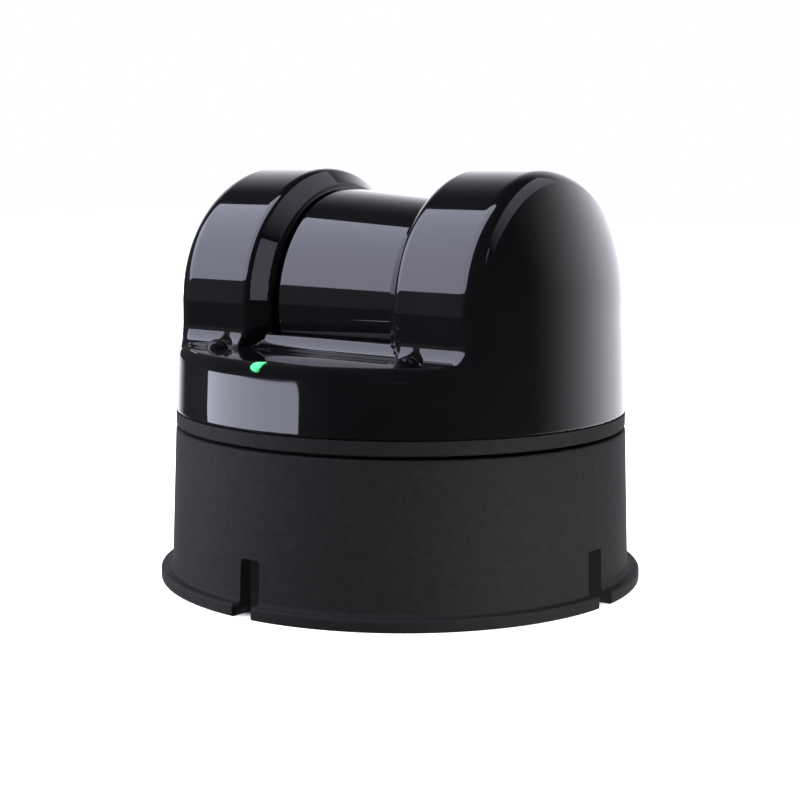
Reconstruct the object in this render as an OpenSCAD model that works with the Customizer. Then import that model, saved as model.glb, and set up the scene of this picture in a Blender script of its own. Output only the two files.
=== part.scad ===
// Pan-and-tilt room camera: a round base, a turning head with two ears, and a
// lens drum that tilts between the ears. Millimetres.
// The origin is the centre of the underside, +Z is the pan axis, and -Y is the
// front, where the status light is.

/* [Base] */
// Outer radius of the foot flange
flange_r = 36.6; // [36.4:0.1:37.6]
// Thickness of the foot flange
flange_h = 1.8; // [1.6:0.1:2.2]
// Outer radius of the base wall at the foot
base_foot_r = 34.9; // [34.8:0.1:35.1]
// Outer radius of the base wall at the pan seam
base_top_r = 34.1; // [34:0.1:34.3]
// Height of the base up to the pan seam
base_h = 23.05; // [23:0.01:23.1]
// Height of the open skirt and of its four notches
skirt_h = 8; // [7.8:0.1:8]
// Width of each notch
notch_w = 3.5; // [3:0.1:4]
// Thickness of the steel base plate
plate_t = 1.6; // [1.4:0.1:1.6]

/* [Head] */
// Width of the pan seam
seam_gap = 0.5; // [0.4:0.05:0.6]
// Radius of the turntable rim and of the foot of the head shell
head_r = 34; // [33.9:0.1:34.1]
// Height at which the head shell starts
shell_z = 25.6; // [25.5:0.1:25.8]
// Height of the tilt axis
axis_z = 41.55; // [41.5:0.05:41.6]
// Radius of the dome around the tilt axis
dome_r = 33.4; // [33.3:0.05:33.5]
// Radius of the ears around the tilt axis
band_r = 20; // [19.8:0.1:20.2]
// Height of the shelf in front of and behind the drum
shelf_z = 35.2; // [35:0.1:35.4]
// Rounding of the shelf's rim
shelf_round = 1.7; // [1.2:0.1:2]
// Radius of the hollow corner at the foot of the ears
foot_fillet = 3.5; // [3:0.1:3.6]
// Height of the lip in front of the drum, above the shelf
lip_h = 2.1; // [1.8:0.1:2.4]
// Wall thickness of the head shell
shell_wall = 1.8; // [1.6:0.1:1.8]
// Distance from the middle to the top inner edge of an ear
ear_x = 14.3; // [14:0.1:14.6]

/* [Drum] */
// Half of the drum's length
drum_half = 10.3; // [10.2:0.1:10.4]
// Radius of the drum at its middle
drum_r = 16.22; // [16:0.01:16.3]
// Radius that the drum loses for each millimetre towards +X
drum_taper = 0.075; // [0.05:0.005:0.08]
// Wall thickness of the drum
drum_wall = 1.4; // [1.2:0.1:1.6]
// Gap between the drum and the head
drum_gap = 0.5; // [0.4:0.05:0.6]
// Radius of the lens window
window_r = 8.2; // [7.8:0.1:8.4]
// Height angle of the lens above the rear horizon when parked
park_angle = 10; // [5:1:20]

/* [Gears] */
// Tooth module of the pan gears
pan_module = 0.5; // [0.5:0.1:0.5]
// Teeth of the pan gear
pan_teeth = 60; // [60:2:60]
// Tooth module of the tilt gears
tilt_module = 0.4; // [0.4:0.1:0.4]
// Teeth of the tilt gear
tilt_teeth = 40; // [40:2:40]
// Teeth of each pinion
pinion_teeth = 12; // [12:1:12]
// Play between meshing teeth along the pitch circle
gear_play = 0.1; // [0.08:0.01:0.14]

/* [Hidden] */
$fn = 96;
charcoal = [0.15, 0.15, 0.16];
gloss_black = [0.05, 0.05, 0.06];
dark_plastic = [0.22, 0.22, 0.24];
white_plastic = [0.88, 0.87, 0.83];
steel = [0.72, 0.73, 0.75];
brass = [0.80, 0.66, 0.34];
board_green = [0.08, 0.36, 0.20];
chip_black = [0.12, 0.12, 0.13];
rubber_black = [0.10, 0.10, 0.10];
light_green = [0.35, 0.98, 0.55];
smoked_glass = [0.10, 0.10, 0.16];

far = 60;
skin = 0.01;

// Heights of the base's inner levels
ledge_top = skirt_h + plate_t + 1.4;
board_z = 11;
board_t = 1.2;
board_top = board_z + board_t;
deck_z = 16.9;
deck_top = 18.5;
bush_top = 19.2;
gear_z = 19.3;
plate_z = 21.5;
floor_z = 23.6;
rim_z = base_h + seam_gap;

// Radii inside the base
skirt_r = base_foot_r - 2.3;
inner_r = base_top_r - 2;
ledge_r = skirt_r - 1.4;
bush_r = 9.5;
hub_r = 8;
hub_bore_r = 6;
hub_z = 15;
groove_z = 15.8;
groove_h = 0.8;
groove_r = 7.3;
foot_r = 34.5;
foot_w = 2.2;
foot_h = 0.8;
running_fit = 0.05;

// Fixing places of the base plate, on a circle
plate_screw_r = 27.5;
plate_screw_angles = [30, 150, 210, 330];
board_posts = [[-6, 11], [12, 10]];

// The pan motor hangs under the deck
pan_centre = pan_module * (pan_teeth + pinion_teeth) / 2;
pan_at = [-pan_centre, 0];
motor_r = 7.5;
shaft_r = 0.75;

// Things reached from behind
port_z = 13.8;
port_w = 8.94;
port_h = 3.2;
port_mouth = 31.9;
button_angle = -28;
button_z = 13.75;
button_r = 1.9;
button_clear = 0.15;
card_angle = 32;
card_z = 13.2;
speaker_at = [0, -17];
speaker_r = 9;

// Tilt drive, in the ear on +X
gap_half = drum_half + drum_gap;
ear_wall_t = 1.6;
yoke_x = 13;
yoke_t = 1.6;
yoke_out = yoke_x + yoke_t;
tilt_centre = tilt_module * (tilt_teeth + pinion_teeth) / 2;
tilt_motor_r = 7;
tilt_motor_z = axis_z - tilt_centre;
tilt_motor_end = 23.2;
tilt_gear_x = 24.2;
tilt_gear_t = 2;
axle_r = 1.5;
post_at = [17.5, 22];
post_r = 2.6;
foot_at = [17, 12];

// Radius of the base wall, of the head shell and of the drum
function base_r(z) = base_foot_r + (base_top_r - base_foot_r) * z / base_h;
function shell_r(z) = head_r + (dome_r - head_r) * (z - shell_z) / (axis_z - shell_z);
function drum_r_at(x) = drum_r - drum_taper * x;

// Points along an arc, for small roundings in a turned outline
function arc_points(centre, r, start, stop, steps = 4) =
    [for (i = [0:steps])
        let (a = start + (stop - start) * i / steps)
        centre + r * [cos(a), sin(a)]];

// A tube standing on z0
module tube(outer, inner, z0, z1) {
    translate([0, 0, z0])
        difference() {
            cylinder(r = outer, h = z1 - z0);
            translate([0, 0, -1]) cylinder(r = inner, h = z1 - z0 + 2);
        }
}

module disc(r, z0, z1) {
    translate([0, 0, z0]) cylinder(r = r, h = z1 - z0);
}

// A round bar along X at the height z
module bar_x(r, x0, x1, y = 0, z = axis_z) {
    translate([x0, y, z]) rotate([0, 90, 0]) cylinder(r = r, h = x1 - x0);
}

// A round bar along +Y
module bar_y(r, y0, y1, x = 0, z = 0) {
    translate([x, y0, z]) rotate([-90, 0, 0]) cylinder(r = r, h = y1 - y0);
}

// Turns an outline of [radius, x] points about the tilt axis
module turned_about_tilt() {
    translate([0, 0, axis_z]) rotate([0, 90, 0]) rotate_extrude() children();
}

// Extrudes a [y, z] outline along X
module plate_x(x0, x1) {
    translate([x0, 0, 0]) rotate([90, 0, 90]) linear_extrude(x1 - x0) children();
}

// Extrudes an [x, z] outline along +Y
module plate_y(y0, y1) {
    translate([0, y1, 0]) rotate([90, 0, 0]) linear_extrude(y1 - y0) children();
}

module pill(w, h) {
    square([w - h, h], center = true);
    for (side = [-1, 1]) translate([side * (w - h) / 2, 0]) circle(r = h / 2);
}

// A pan-head screw, its shank pointing up from the underside of its head
module screw(head_r, head_h, shank_r, shank_l) {
    difference() {
        union() {
            disc(head_r, -head_h, 0);
            disc(shank_r, -skin, shank_l);
        }
        for (turn = [0, 90])
            rotate([0, 0, turn])
                translate([0, 0, -head_h]) cube([head_r * 1.2, head_r * 0.28, head_h], center = true);
    }
}

// Involute spur gear about Z, with a tooth on +X
function involute_angle(roll) = roll * 180 / PI - atan(roll);
function flank_points(teeth, m, side, steps = 4) =
    let (base = m * teeth / 2 * cos(20),
         tip = m * (teeth / 2 + 0.9),
         start = sqrt(max(0, pow(max(base, m * (teeth / 2 - 1.1)) / base, 2) - 1)),
         stop = sqrt(pow(tip / base, 2) - 1),
         half = 90 / teeth + involute_angle(tan(20)) - gear_play / (m * teeth) * 90 / PI)
    [for (i = [0:steps])
        let (roll = start + (stop - start) * i / steps,
             r = base * sqrt(1 + roll * roll),
             a = side * (half - involute_angle(roll)))
        [r, a]];
function gear_points(teeth, m) =
    let (root = m * (teeth / 2 - 1.2),
         rise = flank_points(teeth, m, -1),
         fall = flank_points(teeth, m, 1),
         last = len(rise) - 1)
    [for (tooth = [0:teeth - 1])
        let (polar = concat(
            [[root, rise[0][1]]],
            rise,
            [for (i = [0:last]) fall[last - i]],
            [[root, fall[0][1]]]))
        for (p = polar)
            let (a = p[1] + tooth * 360 / teeth)
            p[0] * [cos(a), sin(a)]];
module gear(teeth, m, thickness, bore) {
    difference() {
        linear_extrude(thickness) polygon(gear_points(teeth, m));
        disc(bore, -1, thickness + 1);
    }
}

// ---------------------------------------------------------------- base

module base_outline() {
    edge = 0.35;
    fillet = 0.5;
    corner_r = base_r(flange_h) + fillet;
    polygon(concat(
        [[bush_r, deck_z], [inner_r + 0.1, deck_z], [inner_r + 0.1, ledge_top + 0.6],
         [ledge_r, ledge_top], [ledge_r, skirt_h + plate_t], [skirt_r, skirt_h + plate_t],
         [skirt_r, 0]],
        arc_points([flange_r - edge, edge], edge, -90, 0),
        arc_points([flange_r - edge, flange_h - edge], edge, 0, 90),
        arc_points([corner_r, flange_h + fillet], fillet, 270, 180),
        arc_points([base_top_r - edge, base_h - edge], edge, 0, 90),
        [[inner_r, base_h], [inner_r, deck_top], [bush_r, deck_top]]));
}

// One notch of the skirt, from the inside out along -Y
module notch() {
    corner = 0.6;
    plate_y(-far, -skirt_r + 2.5)
        union() {
            translate([-notch_w / 2, -1]) square([notch_w, skirt_h - corner + 1]);
            translate([-notch_w / 2 + corner, 0]) square([notch_w - 2 * corner, skirt_h]);
            for (side = [-1, 1])
                translate([side * (notch_w / 2 - corner), skirt_h - corner]) circle(r = corner);
        }
}

module four_notches() {
    for (turn = [0:90:270]) rotate([0, 0, turn]) notch();
}

module rear_port_cuts() {
    plate_y(inner_r - 3, far) translate([0, port_z]) pill(port_w + 0.7, port_h + 0.7);
    plate_y(base_r(port_z) - 0.7, far) translate([0, port_z]) pill(port_w + 3.2, port_h + 3.2);
    rotate([0, 0, button_angle])
        bar_y(button_r + button_clear, inner_r - 3, far, 0, button_z);
    rotate([0, 0, card_angle])
        plate_y(inner_r - 3, far) translate([0, card_z + 0.9]) pill(12, 1.5);
}

module base_housing() {
    color(charcoal)
    difference() {
        union() {
            rotate_extrude() base_outline();
            for (a = plate_screw_angles)
                rotate([0, 0, a])
                    translate([plate_screw_r, 0, 0]) disc(3, skirt_h + plate_t, deck_z + 0.5);
            for (p = board_posts)
                translate(p) disc(2.2, board_top, deck_z + 0.5);
        }
        four_notches();
        tube(foot_r + foot_w / 2, foot_r - foot_w / 2, -1, foot_h);
        rear_port_cuts();
        for (a = plate_screw_angles)
            rotate([0, 0, a])
                translate([plate_screw_r, 0, 0]) disc(1.1, 0, deck_z - 1);
        for (p = board_posts)
            translate(p) disc(0.9, board_z, deck_z - 1);
        translate(pan_at) disc(3.9, deck_z - 1, deck_top + 1);
        for (side = [-1, 1])
            translate([pan_at[0], side * 9.6, 0]) disc(0.8, deck_z - 1, deck_top - 0.2);
    }
}

module base_plate() {
    color(steel)
    difference() {
        disc(skirt_r, skirt_h, skirt_h + plate_t);
        disc(4.5, skirt_h - 1, skirt_h + plate_t + 1);
        for (a = plate_screw_angles)
            rotate([0, 0, a])
                translate([plate_screw_r, 0, 0]) disc(1.1, skirt_h - 1, skirt_h + plate_t + 1);
        translate(speaker_at)
            for (a = [0:60:300])
                rotate([0, 0, a]) translate([4, 0, 0]) disc(0.9, skirt_h - 1, skirt_h + plate_t + 1);
        translate(speaker_at) disc(0.9, skirt_h - 1, skirt_h + plate_t + 1);
    }
}

module base_plate_screws() {
    color(steel)
    for (a = plate_screw_angles)
        rotate([0, 0, a])
            translate([plate_screw_r, 0, skirt_h]) screw(2.2, 1.4, 1.1, 7);
}

// Quarter-inch tripod socket, riveted into the base plate
module tripod_nut() {
    color(brass)
    difference() {
        union() {
            disc(6.5, 0.4, skirt_h);
            disc(4.5, skirt_h - skin, skirt_h + plate_t);
        }
        disc(3.175, 0, skirt_h);
    }
}

module foot_ring() {
    color(rubber_black)
    difference() {
        tube(foot_r + foot_w / 2, foot_r - foot_w / 2, 0, foot_h);
        four_notches();
    }
}

module main_board() {
    color(board_green)
    difference() {
        intersection() {
            disc(29.5, board_z, board_top);
            translate([-far, -5, 0]) cube([2 * far, far, far]);
        }
        translate(pan_at) disc(motor_r + 0.8, board_z - 1, board_top + 1);
        for (a = plate_screw_angles)
            rotate([0, 0, a])
                translate([plate_screw_r, 0, 0]) disc(3.6, board_z - 1, board_top + 1);
        for (p = board_posts)
            translate(p) disc(0.9, board_z - 1, board_top + 1);
    }
}

module board_chips() {
    color(chip_black) {
        translate([-1, 13.5, board_top]) cube([10, 9, 1.4]);
        translate([15, 1, board_top]) cube([9, 7, 1.1]);
        translate([16, -4, board_top]) cube([5, 4, 0.9]);
        translate([5.5, 4, board_top]) cube([4, 3, 1.2]);
        for (i = [0:2]) translate([11 + 3 * i, 16, board_top]) cube([1.6, 3, 1]);
    }
}

module board_screws() {
    color(steel)
    for (p = board_posts)
        translate([p[0], p[1], board_z]) screw(1.7, 1, 0.9, 4.6);
}

module usb_socket() {
    color(steel)
    plate_y(port_mouth - 7.3, port_mouth)
        translate([0, port_z])
            difference() {
                pill(port_w, port_h);
                pill(port_w - 0.6, port_h - 0.6);
            }
    color(chip_black) {
        plate_y(port_mouth - 7.3, port_mouth - 6.3)
            translate([0, port_z]) pill(port_w - 0.6, port_h - 0.6);
        translate([-3.3, port_mouth - 6.3 - skin, port_z - 0.35]) cube([6.6, 5.2, 0.7]);
    }
}

module card_socket() {
    color(steel)
    rotate([0, 0, card_angle])
        difference() {
            translate([-6.8, 17.6, board_top]) cube([13.6, 12.4, 2.6]);
            translate([-5.7, 18.6, card_z + 0.4]) cube([11.4, 20, 1]);
        }
}

module reset_switch() {
    rotate([0, 0, button_angle]) {
        color(chip_black) translate([-2.3, 25.8, board_top]) cube([4.6, 3.2, 3.1]);
        color(white_plastic) bar_y(0.9, 29 - skin, 29.6, 0, button_z);
    }
}

// The button is pressed along its own length, into the base
module reset_button() {
    color(gloss_black)
    rotate([0, 0, button_angle]) {
        bar_y(2.4, 30.3, 31, 0, button_z);
        bar_y(button_r, 31 - skin, base_r(button_z) + 0.35, 0, button_z);
    }
}

module cable_header() {
    color(white_plastic)
    difference() {
        translate([-4, -3, board_top]) cube([8, 6, 2.6]);
        disc(2, board_top + 1.2, far);
    }
}

module hub_cable() {
    color(chip_black) disc(2, board_top + 1.2, floor_z);
}

module speaker() {
    color(dark_plastic)
    translate(speaker_at)
        difference() {
            disc(speaker_r, skirt_h + plate_t, skirt_h + plate_t + 4.2);
            disc(speaker_r - 1.4, skirt_h + plate_t - 1, skirt_h + plate_t + 0.8);
        }
}

module pan_motor() {
    lug = 0.8;
    color(steel)
    difference() {
        translate(pan_at) {
            disc(motor_r, 10.2, deck_z);
            disc(2.2, deck_z - skin, deck_z + 0.7);
            for (side = [-1, 1])
                translate([0, side * 9.6, 0]) disc(2.1, deck_z - lug, deck_z);
            translate([-2.1, -9.6, deck_z - lug]) cube([4.2, 19.2, lug]);
        }
        translate(pan_at) disc(shaft_r + running_fit, 10.9, far);
        for (side = [-1, 1])
            translate([pan_at[0], side * 9.6, 0]) disc(0.8, deck_z - 2, deck_z + 1);
    }
}

module pan_motor_screws() {
    color(steel)
    for (side = [-1, 1])
        translate([pan_at[0], side * 9.6, deck_z - 0.8]) screw(1.5, 1, 0.8, 2.2);
}

module pan_bush() {
    color(white_plastic) {
        tube(bush_r, hub_r + running_fit, deck_z, bush_top);
        tube(11, hub_r + running_fit, deck_top, bush_top);
    }
}

module pan_motor_shaft() {
    color(steel) translate(pan_at) disc(shaft_r, 11, gear_z + 2);
}

module pan_pinion() {
    color(brass)
    translate([pan_at[0], pan_at[1], gear_z])
        rotate([0, 0, 180 / pinion_teeth]) gear(pinion_teeth, pan_module, 2, shaft_r);
}

// ---------------------------------------------------------------- head

// The places of the four posts and screws that hold the head shell
module four_posts() {
    for (x = [-post_at[0], post_at[0]], y = [-post_at[1], post_at[1]])
        translate([x, y, 0]) children();
}

module turntable() {
    rim_in = head_r - 4.2;
    edge = 0.25;
    color(charcoal)
    difference() {
        union() {
            rotate_extrude()
                polygon(concat(
                    [[rim_in, rim_z]],
                    arc_points([head_r + 0.03 - edge, rim_z + edge], edge, -90, 0),
                    [[head_r + 0.03, shell_z], [rim_in, shell_z]]));
            disc(inner_r - 0.5, plate_z, floor_z);
            disc(hub_r, hub_z, plate_z + skin);
            four_posts() disc(post_r, floor_z - skin, shelf_z - shell_wall);
        }
        disc(hub_bore_r, hub_z - 1, floor_z + 1);
        tube(hub_r + 1, groove_r, groove_z, groove_z + groove_h);
        four_posts() disc(0.95, floor_z + 1, shelf_z);
        for (x = [-foot_at[0], foot_at[0]], y = [-foot_at[1], foot_at[1]])
            translate([x, y, 0]) disc(0.9, plate_z + 0.3, floor_z + 1);
    }
}

module pan_gear() {
    color(white_plastic)
    translate([0, 0, gear_z]) gear(pan_teeth, pan_module, plate_z - gear_z, hub_r);
}

module hub_retainer() {
    color(steel)
    difference() {
        tube(9.3, groove_r, groove_z + 0.05, groove_z + groove_h - 0.05);
        translate([0, -1.5, 0]) cube([far, 3, far]);
    }
}

// The dome over the whole head, made smaller by inset
module dome(inset, below = 0) {
    translate([0, 0, shell_z - below])
        cylinder(r1 = shell_r(shell_z - below) - inset, r2 = dome_r - inset,
                 h = axis_z - shell_z + below);
    translate([0, 0, axis_z]) sphere(r = dome_r - inset);
}

module above(z) {
    translate([-far, -far, z]) cube([2 * far, 2 * far, far]);
}

// The dome, cut down to the shelf in front of and behind the ears' round band
module head_outside() {
    round_z = shelf_z - shelf_round;
    overlap = 0.12;
    round_at = shell_r(round_z) - shelf_round + overlap;
    intersection() {
        dome(0);
        union() {
            rotate_extrude() {
                polygon([[0, shell_z - 1], [head_r + 2, shell_z - 1], [head_r + 2, round_z],
                         [round_at, round_z], [round_at, shelf_z], [0, shelf_z]]);
                translate([round_at, round_z])
                    intersection() {
                        circle(r = shelf_round);
                        translate([-skin, -skin]) square(shelf_round + 1);
                    }
            }
            intersection() {
                bar_x(band_r, -far, far);
                above(shelf_z - 4);
            }
            ear_feet();
        }
    }
}

// A bar along X under a quarter-round hollow of radius r, whose middle is at [y, z]
module hollow_corner(y, z, r, back_y, top_z) {
    rotate([90, 0, 90])
        translate([0, 0, -far])
            linear_extrude(2 * far)
                difference() {
                    translate([y, z - r - 1]) square([back_y - y, top_z - z + r + 1]);
                    translate([y, z]) circle(r = r);
                }
}

// The hollow corners between the ears' bands and the shelf, front and rear
module ear_feet() {
    z = shelf_z + foot_fillet;
    y = -sqrt(pow(band_r + foot_fillet, 2) - pow(axis_z - z, 2));
    touch = band_r / (band_r + foot_fillet);
    for (turn = [0, 180])
        rotate([0, 0, turn])
            hollow_corner(y, z, foot_fillet, shell_wall - band_r, axis_z + (z - axis_z) * touch);
}

// The lip that rises from the shelf in front of the drum
module drum_lip() {
    thick = 0.6;
    y = -sqrt(pow(drum_r_at(-gap_half) + drum_gap, 2) - pow(axis_z - shelf_z - lip_h, 2)) - thick;
    intersection() {
        hollow_corner(y - lip_h, shelf_z + lip_h, lip_h, y + 2, shelf_z + lip_h);
        ear_gap(0.4);
    }
}

// The hollow of the head, which reaches up into both ears
module head_inside() {
    roof_z = shelf_z - shell_wall;
    intersection() {
        dome(shell_wall, 1);
        union() {
            translate([-far, -far, roof_z - far]) cube([2 * far, 2 * far, far]);
            difference() {
                bar_x(band_r - shell_wall, -far, far);
                ear_gap(ear_wall_t);
            }
        }
    }
}

// The space between the ears, made wider by grow
module ear_gap(grow) {
    low_x = gap_half + grow;
    high_x = ear_x + grow;
    low_r = drum_r_at(-gap_half) + drum_gap - 0.1;
    turned_about_tilt()
        polygon([[0, -low_x], [low_r, -low_x], [band_r + 0.6, -high_x - 0.1],
                 [band_r + 6, -high_x - 0.1], [band_r + 6, high_x + 0.1],
                 [band_r + 0.6, high_x + 0.1], [low_r, low_x], [0, low_x]]);
}

module drum_pocket() {
    turned_about_tilt()
        polygon([[0, -gap_half], [drum_r_at(-gap_half) + drum_gap, -gap_half],
                 [drum_r_at(gap_half) + drum_gap, gap_half], [0, gap_half]]);
}

// The status light's pill shape, on the front of the shelf's rim
module light_shape(w, l, deep) {
    round_z = shelf_z - shelf_round;
    lean = 60;
    reach = shell_r(round_z) - shelf_round + shelf_round * cos(lean);
    translate([0, -reach, round_z + shelf_round * sin(lean)])
        rotate([lean, 0, 0])
            translate([0, 0, -deep]) linear_extrude(deep + 2) rotate(90) pill(l, w);
}

module head_shell() {
    roof_z = shelf_z - shell_wall;
    color(gloss_black)
    difference() {
        union() {
            difference() {
                head_outside();
                head_inside();
                intersection() {
                    ear_gap(0);
                    above(shelf_z);
                }
            }
            drum_lip();
            translate([0, -27, 0]) disc(1.6, 31.2, roof_z + 1);
        }
        drum_pocket();
        for (side = [-1, 1]) {
            translate([side * (gap_half + 1) - 2, -2, roof_z - 1]) cube([4, 4, axis_z - roof_z + 1]);
            bar_x(2.2, side * (gap_half + 1) - 2, side * (gap_half + 1) + 2);
        }
        four_posts() disc(0.95, roof_z - 1, shelf_z + 1);
        four_posts() disc(2.1, shelf_z, shelf_z + foot_fillet + 0.4);
        light_shape(1.7, 2.1, 4);
    }
}

// Black button-head screws in round recesses, one at each foot of the ears
module shell_screws() {
    cap_r = 1.7;
    cap_h = 1.3;
    ball_r = (cap_r * cap_r + cap_h * cap_h) / (2 * cap_h);
    color(gloss_black)
    four_posts()
        difference() {
            union() {
                intersection() {
                    translate([0, 0, shelf_z + cap_h - ball_r]) sphere(r = ball_r);
                    above(shelf_z);
                }
                disc(0.95, shelf_z - 7.5, shelf_z + 0.2);
            }
            translate([0, 0, shelf_z + 0.5]) cylinder(r = 0.7, h = 2, $fn = 6);
        }
}

module led_light_pipe() {
    color(light_green)
    intersection() {
        head_outside();
        light_shape(1.7, 2.1, 3.2);
    }
}

module led_board() {
    color(board_green) translate([-4, -30, 30.2]) cube([8, 6, 1]);
    color(white_plastic) translate([-1, -30, 31.2 - skin]) cube([2, 1.2, 0.9]);
}

// Bracket that carries the drum's axle, for the +X side
module yoke() {
    difference() {
        union() {
            plate_x(yoke_x, yoke_out) {
                polygon([[-11, floor_z], [11, floor_z], [11, 36], [6, 45], [-6, 45], [-11, 36]]);
                translate([0, axis_z]) circle(r = 6.5);
            }
            for (side = [-1, 1])
                translate([yoke_x, side * foot_at[1] - 3, floor_z]) cube([7, 6, 1.6]);
        }
        bar_x(3, yoke_x - 1, yoke_out + 1);
        for (side = [-1, 1])
            translate([foot_at[0], side * foot_at[1], 0]) disc(0.9, floor_z - 1, floor_z + 2);
        children();
    }
}

module yoke_left() {
    color(steel)
    mirror([1, 0, 0]) {
        yoke();
        for (side = [-1, 1]) bar_x(1.2, yoke_out - skin, yoke_out + 0.8, side * 6, 30);
    }
}

module yoke_right() {
    color(steel)
    yoke()
        for (side = [-1, 1]) bar_x(0.8, yoke_x - 1, yoke_out + 1, side * 9, tilt_motor_z);
}

module yoke_screws() {
    color(steel)
    for (x = [-foot_at[0], foot_at[0]], y = [-foot_at[1], foot_at[1]])
        translate([x, y, floor_z + 1.6]) mirror([0, 0, 1]) screw(1.7, 1, 0.9, 3.2);
}

module tilt_bush() {
    difference() {
        union() {
            bar_x(3, yoke_x - 0.35, yoke_out);
            bar_x(3.9, yoke_x - 0.35, yoke_x);
        }
        bar_x(axle_r + running_fit, yoke_x - 1, yoke_out + 1);
    }
}

module tilt_bush_left() {
    color(white_plastic) mirror([1, 0, 0]) tilt_bush();
}

module tilt_bush_right() {
    color(white_plastic) tilt_bush();
}

module tilt_motor() {
    lug = 0.8;
    color(steel)
    difference() {
        union() {
            bar_x(tilt_motor_r, yoke_out, tilt_motor_end, 0, tilt_motor_z);
            bar_x(2, tilt_motor_end - skin, tilt_motor_end + 0.6, 0, tilt_motor_z);
            plate_x(yoke_out, yoke_out + lug)
                translate([0, tilt_motor_z]) pill(22, 4);
        }
        bar_x(shaft_r + running_fit, yoke_out + 0.7, far, 0, tilt_motor_z);
        for (side = [-1, 1]) bar_x(0.8, yoke_out - 1, yoke_out + 2, side * 9, tilt_motor_z);
    }
}

module tilt_motor_screws() {
    color(steel)
    for (side = [-1, 1])
        translate([yoke_out + 0.8, side * 9, tilt_motor_z])
            rotate([0, -90, 0]) screw(1.4, 0.9, 0.8, 2.2);
}

module driver_board() {
    board_x = -yoke_out - 0.8;
    color(board_green) translate([board_x - 1, -8, 26.5]) cube([1, 16, 11.5]);
    color(chip_black) {
        translate([board_x - 2.2, -3, 30]) cube([1.2, 6, 5]);
        translate([board_x - 3.6, -7, 27.2]) cube([2.6, 4, 2.4]);
    }
}

module tilt_motor_shaft() {
    color(steel) bar_x(shaft_r, yoke_out + 0.8, tilt_gear_x + tilt_gear_t, 0, tilt_motor_z);
}

module tilt_pinion() {
    color(brass)
    translate([tilt_gear_x, 0, tilt_motor_z])
        rotate([0, 90, 0])
            rotate([0, 0, 180 / pinion_teeth]) gear(pinion_teeth, tilt_module, tilt_gear_t, shaft_r);
}

// ---------------------------------------------------------------- drum

// Places things that look along the lens: +Y is the view direction, and the
// origin is on the tilt axis
module along_lens() {
    translate([0, 0, axis_z]) rotate([park_angle, 0, 0]) children();
}

module cap_screw_places() {
    for (a = [110, 180, 250])
        translate([0, 12.4 * cos(a), 12.4 * sin(a)]) children();
}

module drum_body(inset) {
    turned_about_tilt()
        polygon([[0, -drum_half], [drum_r_at(-drum_half) - inset, -drum_half],
                 [drum_r_at(drum_half) - inset, drum_half], [0, drum_half]]);
}

module drum_shell() {
    edge = 0.7;
    cap_t = 1.6;
    big_r = drum_r_at(-drum_half);
    small_r = drum_r_at(drum_half);
    color(gloss_black)
    difference() {
        union() {
            difference() {
                turned_about_tilt()
                    polygon(concat(
                        [[0, -drum_half]],
                        arc_points([big_r - edge, edge - drum_half], edge, -90, 0),
                        arc_points([small_r - edge, drum_half - edge], edge, 0, 90),
                        [[0, drum_half]]));
                turned_about_tilt()
                    polygon([[0, -far], [big_r - 1, -far], [big_r - 1, cap_t - drum_half],
                             [drum_r_at(cap_t - drum_half) - drum_wall, cap_t - drum_half],
                             [drum_r_at(drum_half - cap_t) - drum_wall, drum_half - cap_t],
                             [0, drum_half - cap_t]]);
            }
            bar_x(3.5, drum_half - 4, drum_half - 1);
            along_lens() {
                cap_screw_places()
                    translate([cap_t - drum_half, 0, 0]) rotate([0, 90, 0])
                        cylinder(r = 1.8, h = 2 * drum_half - 2 * cap_t + 0.5);
                for (z = [-9, 5])
                    translate([7.4, 2.8, z]) cube([1.8, 1, 4]);
            }
        }
        along_lens() {
            bar_y(window_r, 5, far);
            cap_screw_places()
                translate([-drum_half, 0, 0]) rotate([0, 90, 0]) cylinder(r = 0.75, h = 7);
        }
        bar_x(axle_r, 0, far);
    }
}

module drum_cap() {
    cap_t = 1.6;
    color(gloss_black)
    difference() {
        union() {
            bar_x(drum_r_at(-drum_half) - 1, -drum_half, cap_t - drum_half);
            bar_x(3.5, cap_t - drum_half - skin, 3.8 - drum_half);
        }
        bar_x(axle_r, -far, 0);
        along_lens()
            cap_screw_places()
                translate([-drum_half - 1, 0, 0]) rotate([0, 90, 0]) {
                    cylinder(r = 0.75, h = 4);
                    cylinder(r = 1.5, h = 1.8);
                }
    }
}

module drum_screws() {
    color(steel)
    along_lens()
        cap_screw_places()
            translate([0.8 - drum_half, 0, 0]) rotate([0, 90, 0]) screw(1.4, 0.7, 0.75, 5.5);
}

module tilt_axle_left() {
    color(steel) bar_x(axle_r, -yoke_out - 0.6, 3.8 - drum_half);
}

module tilt_axle_right() {
    color(steel) bar_x(axle_r, drum_half - 4, tilt_gear_x + tilt_gear_t + 0.4);
}

module tilt_gear() {
    color(white_plastic)
    translate([tilt_gear_x, 0, axis_z])
        rotate([0, 90, 0])
            gear(tilt_teeth, tilt_module, tilt_gear_t, axle_r);
}

module lens_window() {
    color(smoked_glass)
    intersection() {
        difference() {
            drum_body(0);
            drum_body(drum_wall - 0.2);
        }
        along_lens() bar_y(window_r, 5, far);
    }
}

module lens_holder() {
    color(dark_plastic)
    along_lens()
        difference() {
            union() {
                translate([-6.5, 4.8, -6.5]) cube([13, 3.4, 13]);
                for (x = [-1, 1], z = [-1, 1]) bar_y(0.8, 8.2 - skin, 10.6, x * 5.6, z * 5.6);
            }
            translate([-4.4, 4, -4.4]) cube([8.8, 2.4, 8.8]);
            bar_y(4.5, 3, 9);
        }
}

module lens_barrel() {
    color(chip_black)
    along_lens()
        difference() {
            union() {
                bar_y(4.5, 6.4, 12.2);
                bar_y(4.8, 10.8, 12.2);
            }
            bar_y(3.9, 11, 13);
            bar_y(2.6, 6, 13);
        }
}

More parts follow.
